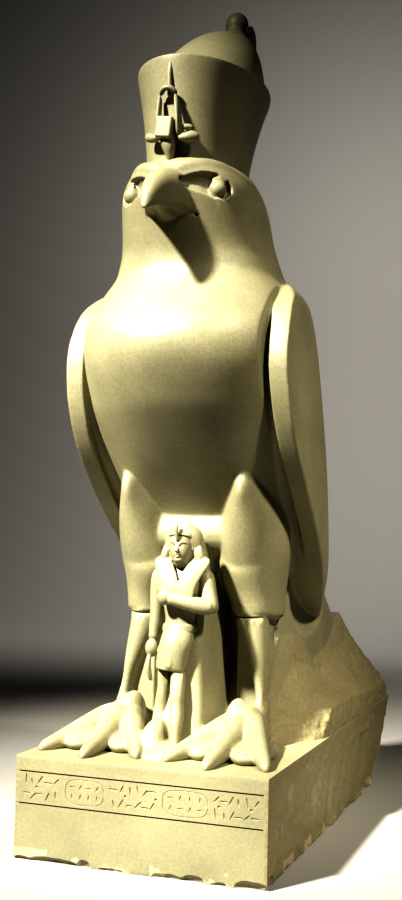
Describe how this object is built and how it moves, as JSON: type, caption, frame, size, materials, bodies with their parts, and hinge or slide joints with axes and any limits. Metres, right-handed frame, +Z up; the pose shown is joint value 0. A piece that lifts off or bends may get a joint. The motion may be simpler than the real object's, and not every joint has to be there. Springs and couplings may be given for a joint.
{
  "type": "horus falcon figure",
  "caption": "Standing stone falcon in a tall double crown, with a small royal figure between its legs, carved in one block with its rectangular plinth.",
  "frame": {"origin": "centre of the footprint's bounding box, on the plane that the plinth stands on", "axes": "+Z up, the falcon faces -Y, its left side is +X"},
  "size_m": [0.1986, 0.462, 0.72],
  "materials": {
    "stone": "polished grey-green stone with a warm tone, small pale chips and a rougher surface on the sides of the base"
  },
  "bodies": {
    "root": {"falcon_statue": "stone"}
  },
  "joints": []
}
